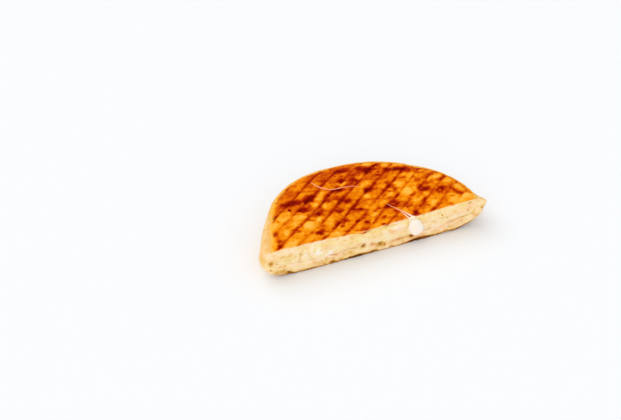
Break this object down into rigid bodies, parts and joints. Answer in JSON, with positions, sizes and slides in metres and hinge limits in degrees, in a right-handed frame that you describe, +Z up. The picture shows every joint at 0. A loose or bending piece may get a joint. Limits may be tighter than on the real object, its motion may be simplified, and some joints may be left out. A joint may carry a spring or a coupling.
{
  "type": "grilled cheese toastie half",
  "caption": "Half of a round, pressed and grilled flatbread toastie, cut straight across, with diamond grill marks and melted cheese filling its pocket and hanging from the cut.",
  "frame": {"origin": "under the middle of the bounding box, on the surface that the bread lies on", "axes": "+X along the cut, +Y from the cut towards the round edge, +Z up through the grilled top"},
  "size_m": [0.1718, 0.084, 0.0248],
  "materials": {
    "toasted_bread": "toasted and oiled crust, pale cream crumb at the cut and rim",
    "melted_cheese": "soft satin, melted"
  },
  "bodies": {
    "root": {"bread": "toasted_bread", "cheese": "melted_cheese"}
  },
  "joints": []
}
